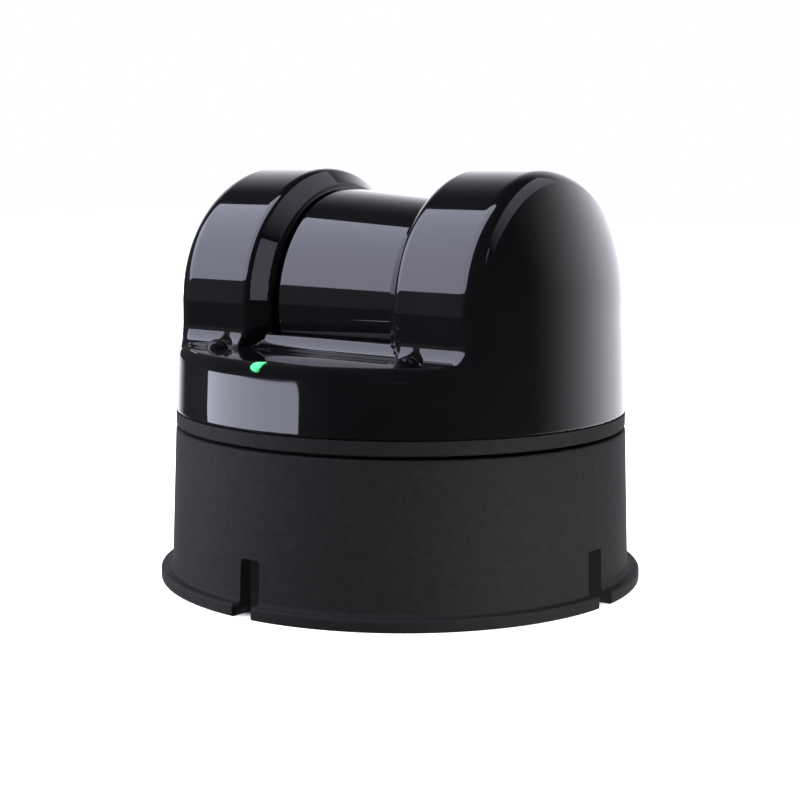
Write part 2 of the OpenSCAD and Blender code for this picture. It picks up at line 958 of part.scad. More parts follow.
module lens_glass() {
    front_r = 6;
    color(smoked_glass)
    along_lens() {
        intersection() {
            translate([0, 12.5 - front_r, 0]) sphere(r = front_r);
            bar_y(3.9, 11, 14);
        }
        bar_y(2.6, 7, 8);
    }
}

module sensor_board() {
    color(board_green)
    along_lens() translate([-8, 3.8, -9]) cube([16.4, 1, 18]);
}

module image_sensor() {
    color(chip_black)
    along_lens() translate([-3.8, 4.8, -3.2]) cube([7.6, 0.9, 6.4]);
}

module infrared_board() {
    color(chip_black)
    along_lens()
        difference() {
            bar_y(7.7, 10.6, 11.2);
            bar_y(4.95, 10, 12);
        }
}

module infrared_lamps() {
    color(smoked_glass)
    along_lens()
        for (a = [0:90:270])
            rotate([0, a, 0])
                translate([5.5, 11.2, -0.8]) cube([1.6, 0.8, 1.6]);
}

base_housing();
base_plate();
base_plate_screws();
tripod_nut();
foot_ring();
main_board();
board_chips();
board_screws();
usb_socket();
card_socket();
reset_switch();
reset_button();
cable_header();
hub_cable();
speaker();
pan_motor();
pan_motor_screws();
pan_bush();
pan_motor_shaft();
pan_pinion();
turntable();
pan_gear();
hub_retainer();
head_shell();
shell_screws();
led_light_pipe();
led_board();
yoke_left();
yoke_right();
yoke_screws();
tilt_bush_left();
tilt_bush_right();
tilt_motor();
tilt_motor_screws();
driver_board();
tilt_motor_shaft();
tilt_pinion();
drum_shell();
drum_cap();
drum_screws();
tilt_axle_left();
tilt_axle_right();
tilt_gear();
lens_window();
lens_holder();
lens_barrel();
lens_glass();
sensor_board();
image_sensor();
infrared_board();
infrared_lamps();
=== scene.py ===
import math

import bpy
import numpy as np
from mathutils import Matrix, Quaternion, Vector


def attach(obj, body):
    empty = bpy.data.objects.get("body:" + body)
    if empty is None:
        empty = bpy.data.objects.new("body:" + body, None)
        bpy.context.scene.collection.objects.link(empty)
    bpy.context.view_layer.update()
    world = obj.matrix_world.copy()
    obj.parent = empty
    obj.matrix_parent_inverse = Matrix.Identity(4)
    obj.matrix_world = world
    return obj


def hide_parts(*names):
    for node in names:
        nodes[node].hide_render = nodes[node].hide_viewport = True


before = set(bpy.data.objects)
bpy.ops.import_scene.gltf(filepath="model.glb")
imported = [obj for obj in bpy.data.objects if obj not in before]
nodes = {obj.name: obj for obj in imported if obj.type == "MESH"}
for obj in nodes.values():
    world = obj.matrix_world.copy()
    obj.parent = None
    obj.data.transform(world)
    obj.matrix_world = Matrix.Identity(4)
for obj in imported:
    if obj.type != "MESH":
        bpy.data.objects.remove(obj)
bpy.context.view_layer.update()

MM = 0.001

# ---------------------------------------------------------------- sizes, in millimetres

# The head: a round wall, a dome, and two ears that are bands around the tilt axis
AXIS_Z = 41.55
SHELL_Z = 25.6
HEAD_R = 34.0
DOME_R = 33.4
WALL_LEAN = (HEAD_R - DOME_R) / (AXIS_Z - SHELL_Z)
BAND_R = 20.0
SHELF_Z = 35.2
RIM_Z = 33.5
RIM_R = HEAD_R - WALL_LEAN * (RIM_Z - SHELL_Z)
WALL = 1.8
EAR_WALL = 1.6
EDGE = 1.75
BOTTOM_EDGE = 0.38
FOOT_FILLET = 3.5

# The space between the ears: straight next to the drum, then a cone that opens outwards
GAP_X = 10.8
GAP_R = 17.43
EAR_X = 14.4
EAR_R = 20.6
GAP_EDGE = 0.45

# The thin lip in front of the drum, and the pit below the drum
LIP_H = 2.1
LIP_Y = -17.7
LIP_BACK_Y = -14.0
LIP_EDGE = 0.25
LIP_OVERLAP = 0.4
PIT_EDGE = 0.25

# The drum, and the round window in it
DRUM_R = 16.22
DRUM_TAPER = 0.075
DRUM_HALF = 10.3
DRUM_GAP = 0.5
DRUM_WALL = 1.4
DRUM_END = 1.6
DRUM_EDGE = 0.7
CAP_SEAT = 1.7
WINDOW_R = 8.2
WINDOW_DEPTH = 5.0
WINDOW_EDGE = 0.12
PARK = math.radians(10)

# The black screws' recesses, the axles' holes and slots, and the status light's hole
SCREW_AT = (17.5, 22.0)
SCREW_RECESS_R = 2.1
SCREW_RECESS_TOP = SHELF_Z + FOOT_FILLET + 0.4
SCREW_RECESS_EDGE = 0.15
AXLE_HOLE_R = 2.2
AXLE_SLOT_HALF = 2.0
LIGHT_LEAN = math.radians(60)
LIGHT_INSET = 1.7
LIGHT_R = 0.85
LIGHT_HALF = 0.2
LIGHT_DEPTH = 4.0


# ---------------------------------------------------------------- distance fields

def round_and(a, b, r):
    """Both a and b, with a convex round of radius r where they meet."""
    return np.minimum(-r, np.maximum(a, b)) + np.hypot(np.maximum(r + a, 0), np.maximum(r + b, 0))


def round_or(a, b, r):
    """Either a or b, with a hollow corner of radius r where they meet."""
    return -round_and(-a, -b, r)


def wall_radius(z):
    """Radius of the head's wall: a cone up to the rim, then a smooth run into the dome."""
    span = AXIS_Z - RIM_Z
    t = np.clip((z - RIM_Z) / span, 0, 1)
    smooth = (
        (2 * t**3 - 3 * t**2 + 1) * RIM_R
        - (t**3 - 2 * t**2 + t) * WALL_LEAN * span
        + (3 * t**2 - 2 * t**3) * DOME_R
    )
    return np.where(z < RIM_Z, HEAD_R - WALL_LEAN * (z - SHELL_Z), smooth)


def dome(x, y, z):
    """The head's outside without its ears: the wall, and the sphere on top of it."""
    r = np.hypot(x, y)
    return np.where(z < AXIS_Z, r - wall_radius(z), np.hypot(r, z - AXIS_Z) - DOME_R)


def ear_gap(x, rho, grow):
    """The space between the ears, widened by grow on each side."""
    ax = np.abs(x) - grow
    run, rise = EAR_R - GAP_R, EAR_X - GAP_X
    slope = ((ax - GAP_X) * run - (rho - GAP_R) * rise) / math.hypot(run, rise)
    return round_or(ax - GAP_X, np.maximum(slope, ax - EAR_X), GAP_EDGE)


def drum_radius(x):
    return DRUM_R - DRUM_TAPER * x


def light_hole(x, y, z):
    """A leaning pill through the rim at the front."""
    up, back = math.sin(LIGHT_LEAN), math.cos(LIGHT_LEAN)
    oy, oz = -(RIM_R - LIGHT_INSET + LIGHT_INSET * back), RIM_Z + LIGHT_INSET * up
    along = (y - oy) * up + (z - oz) * back
    out = -(y - oy) * back + (z - oz) * up
    pill = np.hypot(x, np.maximum(np.abs(along) - LIGHT_HALF, 0)) - LIGHT_R
    return np.maximum(pill, -LIGHT_DEPTH - out)


def head_inside(x, y, z, rho, skin):
    """The room inside the head and its ears, and the way in for both axles."""
    roof = SHELF_Z - WALL
    inner_ear = np.maximum(rho - BAND_R + WALL, -ear_gap(x, rho, EAR_WALL))
    hollow = np.maximum(skin + WALL, np.minimum(z - roof, inner_ear))
    near_axle = np.abs(np.abs(x) - GAP_X - 1) - 2
    slot = np.maximum(np.maximum(near_axle, np.abs(y) - AXLE_SLOT_HALF), z - AXIS_Z)
    slot = np.maximum(slot, roof - 1 - z)
    hole = np.maximum(rho - AXLE_HOLE_R, near_axle)
    return hollow, np.minimum(slot, hole)


def head_field(x, y, z):
    """The gloss head shell: dome, shelf, lip and ears, hollowed out."""
    rho = np.hypot(y, z - AXIS_Z)
    skin = dome(x, y, z)
    slab = z - SHELF_Z
    gap = ear_gap(x, rho, 0)
    ears = round_and(round_or(rho - BAND_R, slab, FOOT_FILLET), -gap, GAP_EDGE)
    recess = np.hypot(np.abs(x) - SCREW_AT[0], np.abs(y) - SCREW_AT[1]) - SCREW_RECESS_R
    recess = np.maximum(recess, z - SCREW_RECESS_TOP)
    ears = round_and(ears, -recess, SCREW_RECESS_EDGE)
    lip = round_and(LIP_Y - y, z - SHELF_Z - LIP_H, LIP_EDGE)
    lip = np.maximum(np.maximum(lip, y - LIP_BACK_Y), gap - LIP_OVERLAP)
    pit = np.maximum(np.abs(x) - GAP_X, rho - drum_radius(x) - DRUM_GAP)
    shelf = round_and(np.minimum(slab, round_or(lip, slab, LIP_H)), -pit, PIT_EDGE)
    solid = round_and(skin, np.minimum(ears, shelf), EDGE)
    hollow, axle_way = head_inside(x, y, z, rho, skin)
    solid = np.maximum(solid, -hollow)
    solid = np.maximum(solid, -axle_way)
    solid = np.maximum(solid, -light_hole(x, y, z))
    return round_and(solid, SHELL_Z - z, BOTTOM_EDGE)


def drum_field(x, y, z):
    """The gloss drum shell, open at the cap's end and at the round window."""
    rho = np.hypot(y, z - AXIS_Z)
    side = (rho - drum_radius(x)) / math.hypot(1, DRUM_TAPER)
    solid = round_and(side, np.abs(x) - DRUM_HALF, DRUM_EDGE)
    hollow = np.maximum(side + DRUM_WALL, np.abs(x) - DRUM_HALF + DRUM_END)
    mouth = np.maximum(rho - drum_radius(-DRUM_HALF) + 1, x + DRUM_HALF - CAP_SEAT)
    solid = np.maximum(solid, -np.minimum(hollow, mouth))
    ly = y * math.cos(PARK) + (z - AXIS_Z) * math.sin(PARK)
    lz = -y * math.sin(PARK) + (z - AXIS_Z) * math.cos(PARK)
    hole = np.maximum(np.hypot(x, lz) - WINDOW_R, WINDOW_DEPTH - ly)
    return round_and(solid, -hole, WINDOW_EDGE)


# ---------------------------------------------------------------- meshes from distance fields

def field_gradient(field, p, eps=0.01):
    """The field's slope at each point, by central differences."""
    g = np.empty_like(p)
    for i in range(3):
        q = p.copy()
        q[:, i] += eps
        hi = field(q[:, 0], q[:, 1], q[:, 2])
        q[:, i] -= 2 * eps
        g[:, i] = (hi - field(q[:, 0], q[:, 1], q[:, 2])) / (2 * eps)
    return g


def surface_net(name, field, low, high, step):
    """A closed quad mesh on the field's zero surface, with the field's own normals."""
    axes = [np.arange(lo, hi + step, step) for lo, hi in zip(low, high)]
    grid = np.meshgrid(*axes, indexing="ij")
    inside = field(*grid) < 0
    # A cell is active where some of its corners are inside and some outside
    nx, ny, nz = (n - 1 for n in inside.shape)
    count = np.zeros((nx, ny, nz), np.int8)
    for i in (0, 1):
        for j in (0, 1):
            for k in (0, 1):
                count += inside[i : nx + i, j : ny + j, k : nz + k]
    active = (count > 0) & (count < 8)
    cell = np.full(active.shape, -1, np.int64)
    at = np.argwhere(active)
    cell[active] = np.arange(len(at))
    # One point in each active cell, moved on to the surface
    centre = np.stack([axes[i][at[:, i]] + step / 2 for i in range(3)], axis=1)
    p = centre.copy()
    for _ in range(8):
        off = field(p[:, 0], p[:, 1], p[:, 2])
        g = field_gradient(field, p)
        p -= (off / np.maximum((g * g).sum(1), 0.2))[:, None] * g
        p = np.clip(p, centre - 0.75 * step, centre + 0.75 * step)
    # One quad around each grid edge that crosses the surface
    faces = []
    for axis in range(3):
        inner = [slice(1, -1)] * 3
        lower, upper = list(inner), list(inner)
        lower[axis], upper[axis] = slice(0, -1), slice(1, None)
        s0, s1 = inside[tuple(lower)], inside[tuple(upper)]
        ids = np.argwhere(s0 != s1)
        solid_first = s0[s0 != s1]
        u, v = [a for a in range(3) if a != axis]
        ids[:, u] += 1
        ids[:, v] += 1
        ring = []
        for du, dv in ((-1, -1), (0, -1), (0, 0), (-1, 0)):
            c = ids.copy()
            c[:, u] += du
            c[:, v] += dv
            ring.append(cell[c[:, 0], c[:, 1], c[:, 2]])
        quad = np.stack(ring, axis=1)
        turn = solid_first if axis != 1 else ~solid_first
        quad[~turn] = quad[~turn][:, ::-1]
        faces.append(quad)
    quads = np.concatenate(faces)
    normals = field_gradient(field, p)
    normals /= np.maximum(np.linalg.norm(normals, axis=1), 1e-9)[:, None]
    mesh = bpy.data.meshes.new(name)
    mesh.from_pydata((p * MM).tolist(), [], quads.tolist())
    mesh.validate()
    mesh.shade_smooth()
    mesh.normals_split_custom_set_from_vertices(normals.tolist())
    piece = bpy.data.objects.new(name, mesh)
    bpy.context.scene.collection.objects.link(piece)
    return piece


# ---------------------------------------------------------------- materials

PATCH_SCALE = 160.0
GRAIN_DEPTH = 0.00002
PIT_SCALE = 3800.0
PIT_DEPTH = 0.00006
PEEL_DEPTH = 0.00001


def new_material(name):
    m = bpy.data.materials.new(name)
    m.use_nodes = True
    tree = m.node_tree
    return m, tree, tree.nodes["Principled BSDF"]


def noise(tree, scale, detail=3.0, rough=0.55, stretch=None):
    coord = tree.nodes.new("ShaderNodeTexCoord")
    tex = tree.nodes.new("ShaderNodeTexNoise")
    tex.inputs["Scale"].default_value = scale
    tex.inputs["Detail"].default_value = detail
    tex.inputs["Roughness"].default_value = rough
    source = coord.outputs["Object"]
    if stretch:
        mapping = tree.nodes.new("ShaderNodeMapping")
        mapping.inputs["Scale"].default_value = stretch
        tree.links.new(source, mapping.inputs["Vector"])
        source = mapping.outputs["Vector"]
    tree.links.new(source, tex.inputs["Vector"])
    return tex.outputs["Fac"]


def spread(tree, value, low, high, start=0.35, stop=0.65):
    ramp = tree.nodes.new("ShaderNodeMapRange")
    ramp.inputs["From Min"].default_value = start
    ramp.inputs["From Max"].default_value = stop
    ramp.inputs["To Min"].default_value = low
    ramp.inputs["To Max"].default_value = high
    tree.links.new(value, ramp.inputs["Value"])
    return ramp.outputs["Result"]


def two_tone(tree, value, dark, light, start=0.35, stop=0.65):
    ramp = tree.nodes.new("ShaderNodeValToRGB")
    ramp.color_ramp.elements[0].position = start
    ramp.color_ramp.elements[0].color = (*dark, 1)
    ramp.color_ramp.elements[1].position = stop
    ramp.color_ramp.elements[1].color = (*light, 1)
    tree.links.new(value, ramp.inputs["Fac"])
    return ramp.outputs["Color"]


def bump(tree, bsdf, value, strength, distance):
    node = tree.nodes.new("ShaderNodeBump")
    node.inputs["Strength"].default_value = strength
    node.inputs["Distance"].default_value = distance
    tree.links.new(value, node.inputs["Height"])
    tree.links.new(node.outputs["Normal"], bsdf.inputs["Normal"])


def surface(name, dark, light, rough, grain, strength, metal=0.0, stretch=None):
    """Two-tone colour in soft patches, roughness that varies with them, and a fine grain."""
    m, tree, bsdf = new_material(name)
    cloud = noise(tree, PATCH_SCALE, 4.0, 0.6, stretch)
    fine = noise(tree, grain, 2.0, 0.5, stretch)
    tree.links.new(two_tone(tree, cloud, dark, light), bsdf.inputs["Base Color"])
    tree.links.new(spread(tree, cloud, rough[0], rough[1]), bsdf.inputs["Roughness"])
    bsdf.inputs["Metallic"].default_value = metal
    bsdf.inputs["IOR"].default_value = 1.5
    bump(tree, bsdf, fine, strength, GRAIN_DEPTH)
    return m


def eroded_plastic(name, dark, light, rough):
    """Spark-eroded plastic: tiny rounded pits over the whole face, and a faint speckle."""
    m, tree, bsdf = new_material(name)
    coord = tree.nodes.new("ShaderNodeTexCoord")
    pits = tree.nodes.new("ShaderNodeTexVoronoi")
    pits.inputs["Scale"].default_value = PIT_SCALE
    pits.feature = "SMOOTH_F1"
    tree.links.new(coord.outputs["Object"], pits.inputs["Vector"])
    fine = noise(tree, 5200.0, 3.0, 0.6)
    cloud = noise(tree, 900.0, 4.0, 0.65)
    mix = tree.nodes.new("ShaderNodeMath")
    mix.operation = "MULTIPLY_ADD"
    mix.inputs[1].default_value = 0.6
    tree.links.new(pits.outputs["Distance"], mix.inputs[0])
    tree.links.new(fine, mix.inputs[2])
    tree.links.new(two_tone(tree, cloud, dark, light, 0.3, 0.7), bsdf.inputs["Base Color"])
    tree.links.new(spread(tree, fine, rough[0], rough[1]), bsdf.inputs["Roughness"])
    bsdf.inputs["Specular IOR Level"].default_value = 0.03
    bump(tree, bsdf, mix.outputs["Value"], 0.35, PIT_DEPTH)
    return m


def piano_black(name, tint):
    """Polished black plastic, with the faintest haze and orange peel of a moulded gloss face."""
    m, tree, bsdf = new_material(name)
    haze = noise(tree, 220.0, 5.0, 0.6)
    peel = noise(tree, 90.0, 2.0, 0.4)
    dark = tuple(c * 0.8 for c in tint)
    tree.links.new(two_tone(tree, haze, dark, tint), bsdf.inputs["Base Color"])
    tree.links.new(spread(tree, haze, 0.02, 0.05), bsdf.inputs["Roughness"])
    bsdf.inputs["IOR"].default_value = 1.52
    bump(tree, bsdf, peel, 0.01, PEEL_DEPTH)
    return m


def clear_glass(name, tint, rough, ior, alpha):
    """Smoked or coated clear plastic: a dark tint that lets the parts behind show."""
    m, tree, bsdf = new_material(name)
    haze = noise(tree, 300.0, 4.0, 0.6)
    dark = tuple(c * 0.7 for c in tint)
    tree.links.new(two_tone(tree, haze, dark, tint), bsdf.inputs["Base Color"])
    tree.links.new(spread(tree, haze, rough, rough + 0.02), bsdf.inputs["Roughness"])
    bsdf.inputs["IOR"].default_value = ior
    bsdf.inputs["Alpha"].default_value = alpha
    return m


def lit_green(name):
    """The status light's diffusing pipe, in slightly uneven patches."""
    m, tree, bsdf = new_material(name)
    glow = noise(tree, 700.0, 2.0, 0.5)
    colour = two_tone(tree, glow, (0.05, 0.80, 0.20), (0.16, 1.0, 0.36), 0.3, 0.7)
    tree.links.new(colour, bsdf.inputs["Base Color"])
    tree.links.new(colour, bsdf.inputs["Emission Color"])
    tree.links.new(spread(tree, glow, 0.2, 0.35), bsdf.inputs["Roughness"])
    bsdf.inputs["Emission Strength"].default_value = 0.75
    return m


M = {
    "matte": eroded_plastic("charcoal_eroded_plastic", (0.0195, 0.0192, 0.0198), (0.0245, 0.0241, 0.0248),
                            (0.52, 0.68)),
    "gloss": piano_black("piano_black_plastic", (0.0045, 0.0045, 0.0055)),
    "drum": piano_black("piano_black_drum", (0.0050, 0.0050, 0.0062)),
    "satin": surface("satin_black_cap", (0.012, 0.012, 0.013), (0.020, 0.020, 0.022), (0.35, 0.48),
                     3500.0, 0.25),
    "green": lit_green("lit_green_pipe"),
    "smoked": clear_glass("smoked_window", (0.010, 0.010, 0.016), 0.02, 1.55, 0.55),
    "lens": clear_glass("coated_lens_glass", (0.06, 0.03, 0.12), 0.01, 1.7, 0.62),
    "lamp": surface("infrared_lamp_resin", (0.020, 0.008, 0.012), (0.045, 0.012, 0.022), (0.06, 0.12),
                    900.0, 0.05),
    "barrel": surface("blacked_barrel", (0.008, 0.008, 0.009), (0.014, 0.014, 0.016), (0.5, 0.65),
                      2500.0, 0.3),
    "plate": surface("zinc_plate", (0.50, 0.51, 0.53), (0.64, 0.65, 0.67), (0.28, 0.45),
                     2600.0, 0.15, metal=1.0, stretch=(1.0, 14.0, 1.0)),
    "screw": surface("zinc_screw", (0.48, 0.49, 0.51), (0.62, 0.63, 0.65), (0.22, 0.38),
                     3000.0, 0.2, metal=1.0),
    "black_screw": surface("black_oxide_screw", (0.012, 0.012, 0.013), (0.030, 0.030, 0.033), (0.18, 0.30),
                           3000.0, 0.15, metal=0.6),
    "motor": surface("drawn_steel_can", (0.56, 0.57, 0.59), (0.70, 0.71, 0.73), (0.2, 0.34),
                     1800.0, 0.12, metal=1.0, stretch=(1.0, 1.0, 12.0)),
    "socket": surface("nickel_shell", (0.62, 0.62, 0.63), (0.76, 0.76, 0.77), (0.12, 0.22),
                      1500.0, 0.06, metal=1.0),
    "brass": surface("turned_brass", (0.60, 0.42, 0.16), (0.78, 0.58, 0.26), (0.2, 0.34),
                     2200.0, 0.15, metal=1.0),
    "rubber": surface("foot_rubber", (0.014, 0.014, 0.014), (0.022, 0.022, 0.022), (0.75, 0.9),
                      2600.0, 0.5),
    "board": surface("green_solder_mask", (0.008, 0.070, 0.030), (0.016, 0.120, 0.050), (0.3, 0.42),
                     1400.0, 0.2),
    "chip": surface("moulded_epoxy", (0.012, 0.012, 0.014), (0.022, 0.022, 0.024), (0.45, 0.6),
                    3600.0, 0.3),
    "cable": surface("wire_sleeve", (0.014, 0.014, 0.015), (0.026, 0.026, 0.028), (0.5, 0.65),
                     2400.0, 0.4, stretch=(1.0, 1.0, 0.3)),
    "speaker": surface("speaker_body", (0.016, 0.016, 0.018), (0.028, 0.028, 0.031), (0.5, 0.6),
                       2500.0, 0.3),
    "acetal": surface("natural_acetal", (0.70, 0.69, 0.63), (0.80, 0.79, 0.74), (0.3, 0.42),
                      1200.0, 0.1),
}

FINISH = {
    "matte": ["base_housing", "turntable"],
    "satin": ["reset_button"],
    "green": ["led_light_pipe"],
    "smoked": ["lens_window"],
    "lens": ["lens_glass"],
    "lamp": ["infrared_lamps"],
    "barrel": ["lens_barrel", "lens_holder"],
    "plate": ["base_plate", "yoke_left", "yoke_right", "hub_retainer"],
    "screw": ["base_plate_screws", "board_screws", "pan_motor_screws", "tilt_motor_screws", "yoke_screws",
              "drum_screws", "pan_motor_shaft", "tilt_motor_shaft", "tilt_axle_left", "tilt_axle_right"],
    "black_screw": ["shell_screws"],
    "motor": ["pan_motor", "tilt_motor"],
    "socket": ["usb_socket", "card_socket"],
    "brass": ["tripod_nut", "pan_pinion", "tilt_pinion"],
    "rubber": ["foot_ring"],
    "board": ["main_board", "led_board", "driver_board", "sensor_board", "infrared_board"],
    "chip": ["board_chips", "reset_switch", "image_sensor", "cable_header"],
    "cable": ["hub_cable"],
    "speaker": ["speaker"],
    "acetal": ["pan_gear", "tilt_gear", "pan_bush", "tilt_bush_left", "tilt_bush_right"],
    "drum": ["drum_cap", "drum_shell"],
    "gloss": ["head_shell"],
}

for key, names in FINISH.items():
    for n in names:
        mesh = nodes[n].data
        mesh.materials.clear()
        mesh.materials.append(M[key])

# ---------------------------------------------------------------- gloss shells

HEAD_STEP = 0.36
DRUM_STEP = 0.3

head = surface_net("gloss_head_shell", head_field, (-34.6, -34.6, 25.2), (34.6, 34.6, 62.2), HEAD_STEP)
head.data.materials.append(M["gloss"])
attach(head, "head")
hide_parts("head_shell")

drum = surface_net("gloss_drum_shell", drum_field, (-11, -17.8, 23.8), (11, 17.8, 59.3), DRUM_STEP)
drum.data.materials.append(M["drum"])
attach(drum, "drum")
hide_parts("drum_shell")


# ---------------------------------------------------------------- light cards and flags

def glow_material(name, strength, colour, fade=None):
    m = bpy.data.materials.new(name)
    m.use_nodes = True
    tree = m.node_tree
    tree.nodes.clear()
    out = tree.nodes.new("ShaderNodeOutputMaterial")
    glow = tree.nodes.new("ShaderNodeEmission")
    glow.inputs["Color"].default_value = (*colour, 1)
    glow.inputs["Strength"].default_value = strength
    if fade:
        axis, start, stop, power = fade
        coord = tree.nodes.new("ShaderNodeTexCoord")
        split = tree.nodes.new("ShaderNodeSeparateXYZ")
        ramp = tree.nodes.new("ShaderNodeMapRange")
        curve = tree.nodes.new("ShaderNodeMath")
        scale = tree.nodes.new("ShaderNodeMath")
        curve.operation, scale.operation = "POWER", "MULTIPLY"
        curve.inputs[1].default_value = power
        scale.inputs[1].default_value = strength
        ramp.inputs["From Min"].default_value = start
        ramp.inputs["From Max"].default_value = stop
        tree.links.new(coord.outputs["Object"], split.inputs["Vector"])
        tree.links.new(split.outputs[axis], ramp.inputs["Value"])
        tree.links.new(ramp.outputs["Result"], curve.inputs[0])
        tree.links.new(curve.outputs["Value"], scale.inputs[0])
        tree.links.new(scale.outputs["Value"], glow.inputs["Strength"])
    tree.links.new(glow.outputs["Emission"], out.inputs["Surface"])
    return m


def card(name, centre, size, facing, strength, colour=(1, 1, 1), fade=None, corner=None):
    """A flat light card that only reflections and soft light see. fade=(axis, from, to, power)
    dims it along its own width (0) or height (1)."""
    w, h = size
    r = corner or 0.12 * min(w, h)
    mesh = bpy.data.meshes.new(name)
    outline = []
    for i, (sx, sy) in enumerate(((1, -1), (1, 1), (-1, 1), (-1, -1))):
        for step in range(7):
            a = math.radians(-90 + 90 * i + 15 * step)
            outline.append((sx * (w / 2 - r) + r * math.cos(a), sy * (h / 2 - r) + r * math.sin(a), 0))
    mesh.from_pydata(outline, [], [tuple(range(len(outline)))])
    o = bpy.data.objects.new(name, mesh)
    bpy.context.scene.collection.objects.link(o)
    o.location = centre
    o.rotation_euler = (Vector(facing) - Vector(centre)).to_track_quat("Z", "Y").to_euler()
    mesh.materials.append(glow_material(name, strength, colour, fade))
    o.visible_camera = False
    o.visible_shadow = False
    return o


def around(az, el, dist, height=0.035):
    """A point seen from the middle of the head: az 0 is the front, 90 is +X."""
    a, e = math.radians(az), math.radians(el)
    return (dist * math.sin(a) * math.cos(e), -dist * math.cos(a) * math.cos(e), height + dist * math.sin(e))


HEAD_MID = (0.0, 0.0, 0.040)
LILAC = (0.80, 0.81, 1.0)

# The big softbox at the front left: its long edges run along X, from 15 to 90 degrees up
KEY_MID, KEY_HALF, KEY_FAR = math.radians(52.5), math.radians(37.5), 0.5
KEY_X, KEY_LONG = -0.72, 1.30
middle = Vector((KEY_X, -KEY_FAR * math.cos(KEY_MID), 0.04 + KEY_FAR * math.sin(KEY_MID)))
card("key_softbox", middle, (KEY_LONG, 2 * KEY_FAR * math.tan(KEY_HALF)),
     middle + Vector((0, math.cos(KEY_MID), -math.sin(KEY_MID))), 4.25, LILAC)
# The low card that the front wall shows
card("low_front_card", (-0.0392, -0.0668, 0.0242), (0.0765, 0.0110), (0, 0, 0.0242), 5.4, LILAC,
     corner=0.003)


def ribbon(name, left_points, right_points, strength, colour=(1, 1, 1)):
    """A light or black sheet between two rows of points."""
    mesh = bpy.data.meshes.new(name)
    n = len(left_points)
    mesh.from_pydata(left_points + right_points, [], [(i, i + 1, n + i + 1, n + i) for i in range(n - 1)])
    o = bpy.data.objects.new(name, mesh)
    bpy.context.scene.collection.objects.link(o)
    mesh.materials.append(glow_material(name, strength, colour))
    o.visible_camera = False
    o.visible_shadow = False
    return o


FLAG_GLOW = 0.05

# A dark flag just above the level of the shelf, from over its edge outwards, which hides the low
# card from the ears; it reaches further in on the right
FLAG_Z = 0.0356
FLAG_IN, FLAG_REACH = 0.0323, 0.0038
FLAG_OUT = 0.120
flag_turns = [math.radians(-112 + 6 * i) for i in range(29)]
flag_in = [FLAG_IN - FLAG_REACH * min(1, max(0, (math.degrees(t) - 4) / 12)) for t in flag_turns]
rim_flag = ribbon("dark_flag",
                  [(r * math.sin(t), -r * math.cos(t), FLAG_Z) for r, t in zip(flag_in, flag_turns)],
                  [(FLAG_OUT * math.sin(t), -FLAG_OUT * math.cos(t), FLAG_Z) for t in flag_turns],
                  FLAG_GLOW)
# A second flag beside the right ear, which keeps the strip light out of the ear's rounded edge
ear_flag = card("ear_edge_flag", (0.0284, -0.0268, 0.0465), (0.011, 0.033), (0.0235, -0.0205, 0.0465),
                FLAG_GLOW)
# A third flag over the front shelf, on the slope along which the camera's rays leave the shelf: the
# camera looks down by about 8 degrees, and 0.8 is the cosine of its turn to the right
FLAG_SLOPE = math.tan(math.radians(8)) / 0.8
shelf_side = ((0.0130, -0.0205), (0.0190, -0.0245), (0.0205, -0.0322))


def over_shelf(x, y):
    return (x, y, 0.03528 + (y + 0.033) * FLAG_SLOPE)


shelf_flag = ribbon("shelf_flag", [over_shelf(-x, y) for x, y in shelf_side],
                    [over_shelf(x, y) for x, y in shelf_side], FLAG_GLOW)
# The flags are for the reflections only, so they take no soft light from the base
for flag in (rim_flag, ear_flag, shelf_flag):
    flag.visible_diffuse = False

# A narrow curved strip at the right, which the left ear's inner face shows
EAR_FACE = Vector((-0.012, -0.019, 0.0425))
STRIP_DIST = 0.30
STRIP_POWER = 1.4
strip_turns = ((41.0, -1.2), (41.2, 2.4), (42.6, 16.6), (44.6, 24.5), (47.0, 32.0), (51.4, 43.0))


def from_ear(az, el):
    a, e = math.radians(az), math.radians(el)
    way = Vector((math.sin(a) * math.cos(e), -math.cos(a) * math.cos(e), math.sin(e)))
    return tuple(EAR_FACE + STRIP_DIST * way)


ribbon("strip_light", [from_ear(az - 4, el) for az, el in strip_turns],
       [from_ear(az + 4, el) for az, el in strip_turns], STRIP_POWER, LILAC)
# The light overhead at the right, which the top of that face shows
card("overhead_light", around(112, 60, 0.6, 0.05), (1.1, 0.34), HEAD_MID, 1.2, LILAC,
     fade=(0, 0.52, 0.05, 1.0))
# Soft light on the matte base from the left, the front left, the right and the rear, which the
# gloss faces don't show
for name, at, size, strength in (
    ("base_fill_left", around(-80, 4, 0.6, 0.03), (0.35, 0.5), 9.5),
    ("base_fill_front", around(-52, 4, 0.6, 0.03), (0.35, 0.5), 8.0),
    ("base_fill_right", around(75, 0, 0.090, 0.012), (0.04, 0.018), 21.0),
    ("base_fill_rear", around(-145, 12, 0.6, 0.03), (0.35, 0.5), 7.0),
):
    fill = card(name, at, size, (0, 0, at[2]), strength)
    fill.visible_glossy = False

# ---------------------------------------------------------------- world

# The strength of the backdrop at its brightest, of the rest, and of the extra at the left
BACKDROP, AMBIENT, LEFT_EXTRA = 2.1, 0.05, 0.15
# The share of all that which matte faces don't get
DIFFUSE_CUT = 0.94


def world_math(tree, operation, *values):
    node = tree.nodes.new("ShaderNodeMath")
    node.operation = operation
    for i, v in enumerate(values):
        if isinstance(v, (int, float)):
            node.inputs[i].default_value = v
        else:
            tree.links.new(v, node.inputs[i])
    return node.outputs[0]


